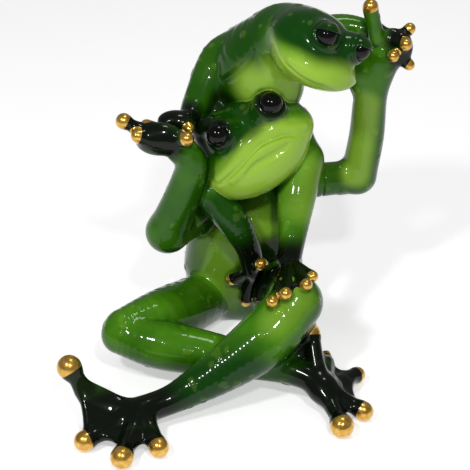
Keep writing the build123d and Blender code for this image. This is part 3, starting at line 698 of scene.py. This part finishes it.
# Raised raindrops on the lacquer
def raindrops(rng, points, normals, bare):
    count = max(3, int(len(points) * CELL * CELL / 420))
    lift = np.zeros(len(points))
    # painted sheen, lightest at each drop's middle
    sheen = np.zeros(len(points))
    order = rng.permutation(np.flatnonzero(bare))[:count]
    for index in order:
        radius = rng.uniform(0.8, 2.3)
        stretch = rng.uniform(1.0, 1.6)
        offset = points - points[index]
        near = np.flatnonzero(np.abs(offset).max(axis=1) < radius * stretch * 1.3)
        flow = unit(np.cross(normals[index], rng.normal(size=3)))
        along = offset[near] @ flow
        rest = np.sqrt(np.maximum((offset[near] ** 2).sum(axis=1) - along**2, 0))
        share = np.sqrt((along / stretch) ** 2 + rest**2) / radius
        dome = np.sqrt(np.maximum(1 - share**2, 0))
        lift[near] = np.maximum(lift[near], dome * radius * 0.2)
        sheen[near] = np.maximum(sheen[near], np.where(share < 1, 1 - share**4, 0))
    return lift, sheen


# Materials
def srgb(red, green, blue):
    return tuple((c / 12.92 if c <= 0.04045 else ((c + 0.055) / 1.055) ** 2.4) for c in (red, green, blue)) + (1,)


def node(tree, kind, **settings):
    made = tree.nodes.new(kind)
    for name, value in settings.items():
        setattr(made, name, value)
    return made


def blank_material(name):
    material = bpy.data.materials.new(name)
    material.use_nodes = True
    tree = material.node_tree
    return material, tree, tree.nodes["Principled BSDF"]


def mask(tree, name):
    return node(tree, "ShaderNodeAttribute", attribute_name=name).outputs["Fac"]


def noise(tree, scale, detail=3.0):
    coords = node(tree, "ShaderNodeTexCoord")
    grain = node(tree, "ShaderNodeTexNoise")
    grain.inputs["Scale"].default_value = scale
    grain.inputs["Detail"].default_value = detail
    tree.links.new(coords.outputs["Object"], grain.inputs["Vector"])
    return grain.outputs["Fac"]


def stretch_range(tree, value, low, high, new_low=0.0, new_high=1.0):
    mapped = node(tree, "ShaderNodeMapRange")
    for slot_name, number in (("From Min", low), ("From Max", high), ("To Min", new_low), ("To Max", new_high)):
        mapped.inputs[slot_name].default_value = number
    tree.links.new(value, mapped.inputs["Value"])
    return mapped.outputs["Result"]


def mix(tree, share, first, second, way="MIX"):
    mixed = node(tree, "ShaderNodeMix", data_type="RGBA", blend_type=way)
    for slot_index, value in ((0, share), (6, first), (7, second)):
        if isinstance(value, (tuple, float)):
            mixed.inputs[slot_index].default_value = value
        else:
            tree.links.new(value, mixed.inputs[slot_index])
    return mixed.outputs[2]


# The dark green, yellow-green and black below are paint colours that the masks also use for painted shade and painted
# light
GREEN = srgb(0.22, 0.45, 0.04)
LIGHT_GREEN = srgb(0.31, 0.56, 0.07)
DEEP_GREEN = srgb(0.05, 0.26, 0.02)
LIME = srgb(0.66, 0.83, 0.28)
INK = srgb(0.03, 0.06, 0.02)
GOLD = srgb(0.93, 0.76, 0.38)
DARK_GOLD = srgb(0.78, 0.57, 0.20)


def resin_material():
    material, tree, shader = blank_material("lacquered_resin")
    clouds = stretch_range(tree, noise(tree, 55.0), 0.35, 0.65)
    green = mix(tree, clouds, GREEN, LIGHT_GREEN)
    # dark green: airbrushed paint together with painted shade
    green = mix(tree, mask(tree, "deep_and_shade"), green, DEEP_GREEN)
    # yellow-green: airbrushed paint together with painted light
    green = mix(tree, mask(tree, "lime_and_light"), green, LIME)
    # painted shade in creases and between parts
    green = mix(tree, mask(tree, "crease_shade"), green, DEEP_GREEN)
    # painted sheen: a faint yellow-green lift on each raised drop
    green = mix(tree, stretch_range(tree, mask(tree, "drop"), 0.0, 1.0, 0.0, 0.1), green, LIME)
    # black: paint on hands and feet together with painted shade in gaps
    green = mix(tree, mask(tree, "ink_and_shade"), green, INK)
    gold = stretch_range(tree, mask(tree, "gold"), -0.04, 0.04)
    brushed = stretch_range(tree, noise(tree, 420.0), 0.3, 0.7)
    leaf = mix(tree, brushed, GOLD, DARK_GOLD)
    tree.links.new(mix(tree, gold, green, leaf), shader.inputs["Base Color"])
    tree.links.new(stretch_range(tree, gold, 0, 1, 0.0, 0.85), shader.inputs["Metallic"])
    tree.links.new(stretch_range(tree, noise(tree, 160.0), 0.3, 0.7, 0.22, 0.34), shader.inputs["Roughness"])
    shader.inputs["Specular IOR Level"].default_value = 0.05
    tree.links.new(stretch_range(tree, mask(tree, "crease_shade"), 0.0, 0.5, 0.75, 0.0), shader.inputs["Coat Weight"])
    shader.inputs["Coat IOR"].default_value = 1.35
    shader.inputs["Coat Roughness"].default_value = 0.03
    ripple = node(tree, "ShaderNodeBump")
    ripple.inputs["Strength"].default_value = 0.12
    ripple.inputs["Distance"].default_value = 0.0004
    tree.links.new(noise(tree, 260.0, 2.0), ripple.inputs["Height"])
    tree.links.new(ripple.outputs["Normal"], shader.inputs["Normal"])
    return material


def eye_material():
    material, tree, shader = blank_material("black_bead")
    depth = stretch_range(tree, noise(tree, 240.0), 0.4, 0.7)
    tree.links.new(mix(tree, depth, srgb(0.015, 0.015, 0.02), srgb(0.05, 0.05, 0.06)), shader.inputs["Base Color"])
    shader.inputs["Roughness"].default_value = 0.05
    shader.inputs["Specular IOR Level"].default_value = 0.25
    return material


# Pieces
def new_object(name, points, faces, material):
    mesh = bpy.data.meshes.new(name)
    mesh.from_pydata((points * MM).tolist(), [], faces.tolist() if hasattr(faces, "tolist") else faces)
    mesh.polygons.foreach_set("use_smooth", [True] * len(mesh.polygons))
    mesh.materials.append(material)
    made = bpy.data.objects.new(name, mesh)
    bpy.context.scene.collection.objects.link(made)
    return made


def paint(made, name, values):
    layer = made.data.attributes.new(name, "FLOAT", "POINT")
    layer.data.foreach_set("value", np.asarray(values, dtype=np.float32))


# How closely other surfaces cover a place: painted shade darkens the colour in creases, and the coat thins there
def crease_shade(points, normals):
    depth = 4.0
    probe = points + normals * depth
    cover = np.zeros(len(points))
    key = np.floor(points / 9.0).astype(int)
    order = np.lexsort(key.T)
    breaks = np.flatnonzero(np.any(np.diff(key[order], axis=0) != 0, axis=1)) + 1
    for chunk in np.split(order, breaks):
        low, high = probe[chunk].min(axis=0), probe[chunk].max(axis=0)
        single, whole = figure(probe[chunk], low, high)
        if whole is not None:
            cover[chunk] = 1 - np.clip(whole / depth, 0, 1)
    return cover


# Surfaces turned from the front and above get dark green: partly airbrushed paint, partly painted shade on sides and
# undersides that the light reaches less
SPRAY_AND_LIGHT_HEADING = unit(place(-0.15, -0.72, 0.68))
resin = resin_material()
bead = eye_material()
rng = np.random.default_rng(DROP_SEED)
low_corner, blocks = block_fields()
for piece in PIECES:
    field, origin = dense_field(low_corner, blocks[piece.name])
    points, quads = surface_mesh(field, origin)
    points = relax(points, quads, 2)
    normals = vertex_normals(points, quads)
    hidden = crease_shade(points, normals)
    ink_and_shade = spray(piece.name, points, INK_AND_SHADE_SPRAYS)
    gold = gold_edge(points, piece.tips)
    lime_and_light = spray(piece.name, points, LIME_AND_LIGHT_SPRAYS)
    bare = (hidden < 0.25) & (ink_and_shade < 0.5) & (gold < -0.3) & (points[:, 2] > 3) & (lime_and_light < 0.5)
    lift, drop = raindrops(rng, points, normals, bare)
    points = points + normals * lift[:, None]
    made = new_object(f"{piece.name}_casting", points, quads, resin)
    paint(made, "lime_and_light", lime_and_light)
    # painted shade: sides and undersides darkened by how they face the light
    side_shade = 0.9 * (1 - ramp(normals @ SPRAY_AND_LIGHT_HEADING, -0.05, 0.85))
    paint(made, "deep_and_shade", np.maximum(spray(piece.name, points, DEEP_AND_SHADE_SPRAYS), side_shade))
    paint(made, "ink_and_shade", ink_and_shade)
    paint(made, "gold", gold)
    paint(made, "drop", drop)
    # painted shade in creases
    paint(made, "crease_shade", ramp(hidden, 0.35, 0.95) * 0.75)
    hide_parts(piece.name)
    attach(made, "root")


def dome(name, middle, radius):
    turns, rows = 48, 24
    points, faces = [], []
    for row in range(rows + 1):
        tilt = math.pi * row / rows
        for turn in range(turns):
            swing = 2 * math.pi * turn / turns
            points.append(middle + radius * place(
                math.sin(tilt) * math.cos(swing), math.sin(tilt) * math.sin(swing), math.cos(tilt)))
    for row in range(rows):
        for turn in range(turns):
            after = (turn + 1) % turns
            faces.append((row * turns + turn, (row + 1) * turns + turn, (row + 1) * turns + after, row * turns + after))
    return new_object(name, np.array(points), faces, bead)


for owner in ("father", "child"):
    for side in ("right", "left"):
        node_name = f"{owner}_{side}_eye"
        eye = dome(f"{node_name}_bead", eye_middle(node_name), node_radius(node_name))
        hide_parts(node_name)
        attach(eye, "root")


# Stage: pale floor, soft lights and the photograph's view
scene = bpy.context.scene
FLOOR_GLOW = 0.5


def add_floor():
    half = 3000.0
    points = np.array([(-half, -half, 0), (half, -half, 0), (half, half, 0), (-half, half, 0)])
    material, tree, shader = blank_material("pale_floor")
    tint = stretch_range(tree, noise(tree, 2.0), 0.3, 0.7, 0.90, 0.93)
    tree.links.new(tint, shader.inputs["Base Color"])
    shader.inputs["Roughness"].default_value = 0.9
    shader.inputs["Emission Color"].default_value = (1, 1, 1, 1)
    rays = node(tree, "ShaderNodeLightPath")
    seen = rays.outputs["Is Camera Ray"]
    for way in ("Is Glossy Ray", "Is Transmission Ray"):
        joined = node(tree, "ShaderNodeMath", operation="MAXIMUM")
        tree.links.new(seen, joined.inputs[0])
        tree.links.new(rays.outputs[way], joined.inputs[1])
        seen = joined.outputs[0]
    tree.links.new(stretch_range(tree, seen, 0, 1, 0.0, FLOOR_GLOW), shader.inputs["Emission Strength"])
    floor = new_object("floor", points, [(0, 1, 2, 3)], material)
    floor.location.z = -0.0002


def add_lamp(name, spot, aim, size, power):
    lamp = bpy.data.lights.new(name, "AREA")
    lamp.shape = "DISK"
    lamp.size = size
    lamp.energy = power
    made = bpy.data.objects.new(name, lamp)
    made.location = spot
    made.rotation_euler = (Vector(aim) - Vector(spot)).to_track_quat("-Z", "Y").to_euler()
    scene.collection.objects.link(made)


def add_world():
    world = bpy.data.worlds.new("studio")
    world.use_nodes = True
    background = world.node_tree.nodes["Background"]
    background.inputs["Color"].default_value = (1, 1, 1, 1)
    background.inputs["Strength"].default_value = 0.2
    scene.world = world


CAMERA_TARGET = Vector((-0.004, -0.030, 0.057))
CAMERA_DISTANCE = 0.800
CAMERA_ELEVATION = math.radians(30)
CAMERA_LENS = 122.55


def add_camera():
    lens = bpy.data.cameras.new("photo_view")
    lens.lens = CAMERA_LENS
    lens.sensor_width = 36.0
    made = bpy.data.objects.new("photo_view", lens)
    back = Vector((0, -math.cos(CAMERA_ELEVATION), math.sin(CAMERA_ELEVATION)))
    made.location = CAMERA_TARGET + back * CAMERA_DISTANCE
    made.rotation_euler = (-back).to_track_quat("-Z", "Y").to_euler()
    scene.collection.objects.link(made)
    scene.camera = made
    scene.render.resolution_x = 470
    scene.render.resolution_y = 470


add_floor()
add_lamp("key", (-0.35, -0.55, 0.75), (0, -0.03, 0.08), 0.10, 2.6)
add_lamp("second", (0.12, -0.65, 0.72), (0, -0.03, 0.08), 0.08, 2.0)
add_lamp("top", (0.15, 0.15, 0.95), (0, -0.03, 0.05), 0.20, 1.2)
add_world()
add_camera()
scene.view_settings.view_transform = "Standard"
